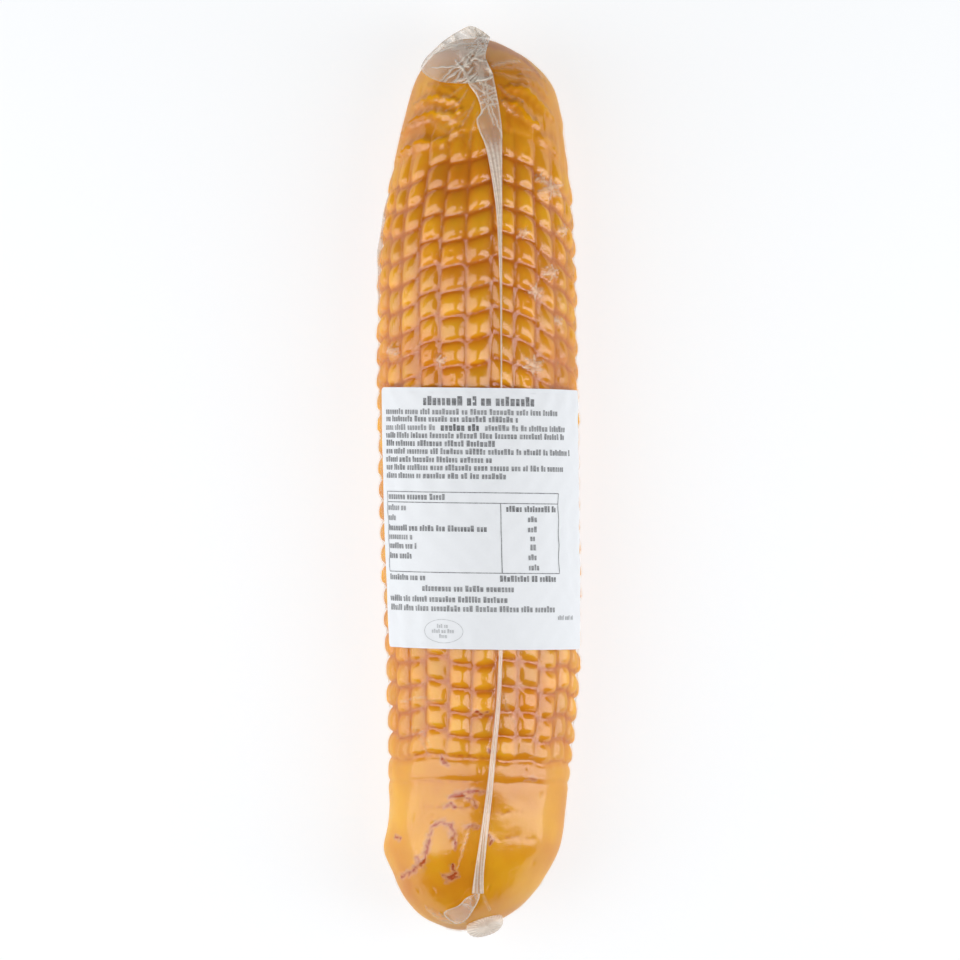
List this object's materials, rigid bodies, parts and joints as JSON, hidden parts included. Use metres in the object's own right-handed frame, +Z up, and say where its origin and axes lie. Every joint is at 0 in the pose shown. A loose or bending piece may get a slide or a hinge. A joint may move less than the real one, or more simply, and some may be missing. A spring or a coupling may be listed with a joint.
{
  "type": "smoked cheese",
  "caption": "Long smoked cheese log with a net-moulded skin of small pillows, shrunk into a clear vacuum bag and wrapped by a paper label.",
  "frame": {"origin": "under the middle of the pack, on the surface it rests on", "axes": "+Y along the log towards its tapered end, +Z up through the middle of the label, +X to the label's right when it is read with the tapered end up"},
  "size_m": [0.0674, 0.2906, 0.0651],
  "materials": {
    "smoked_cheese": "satin",
    "clear_film": "gloss",
    "label_paper": "satin"
  },
  "bodies": {
    "root": {"cheese": "smoked_cheese", "vacuum_bag": "clear_film", "label": "label_paper"}
  },
  "joints": []
}
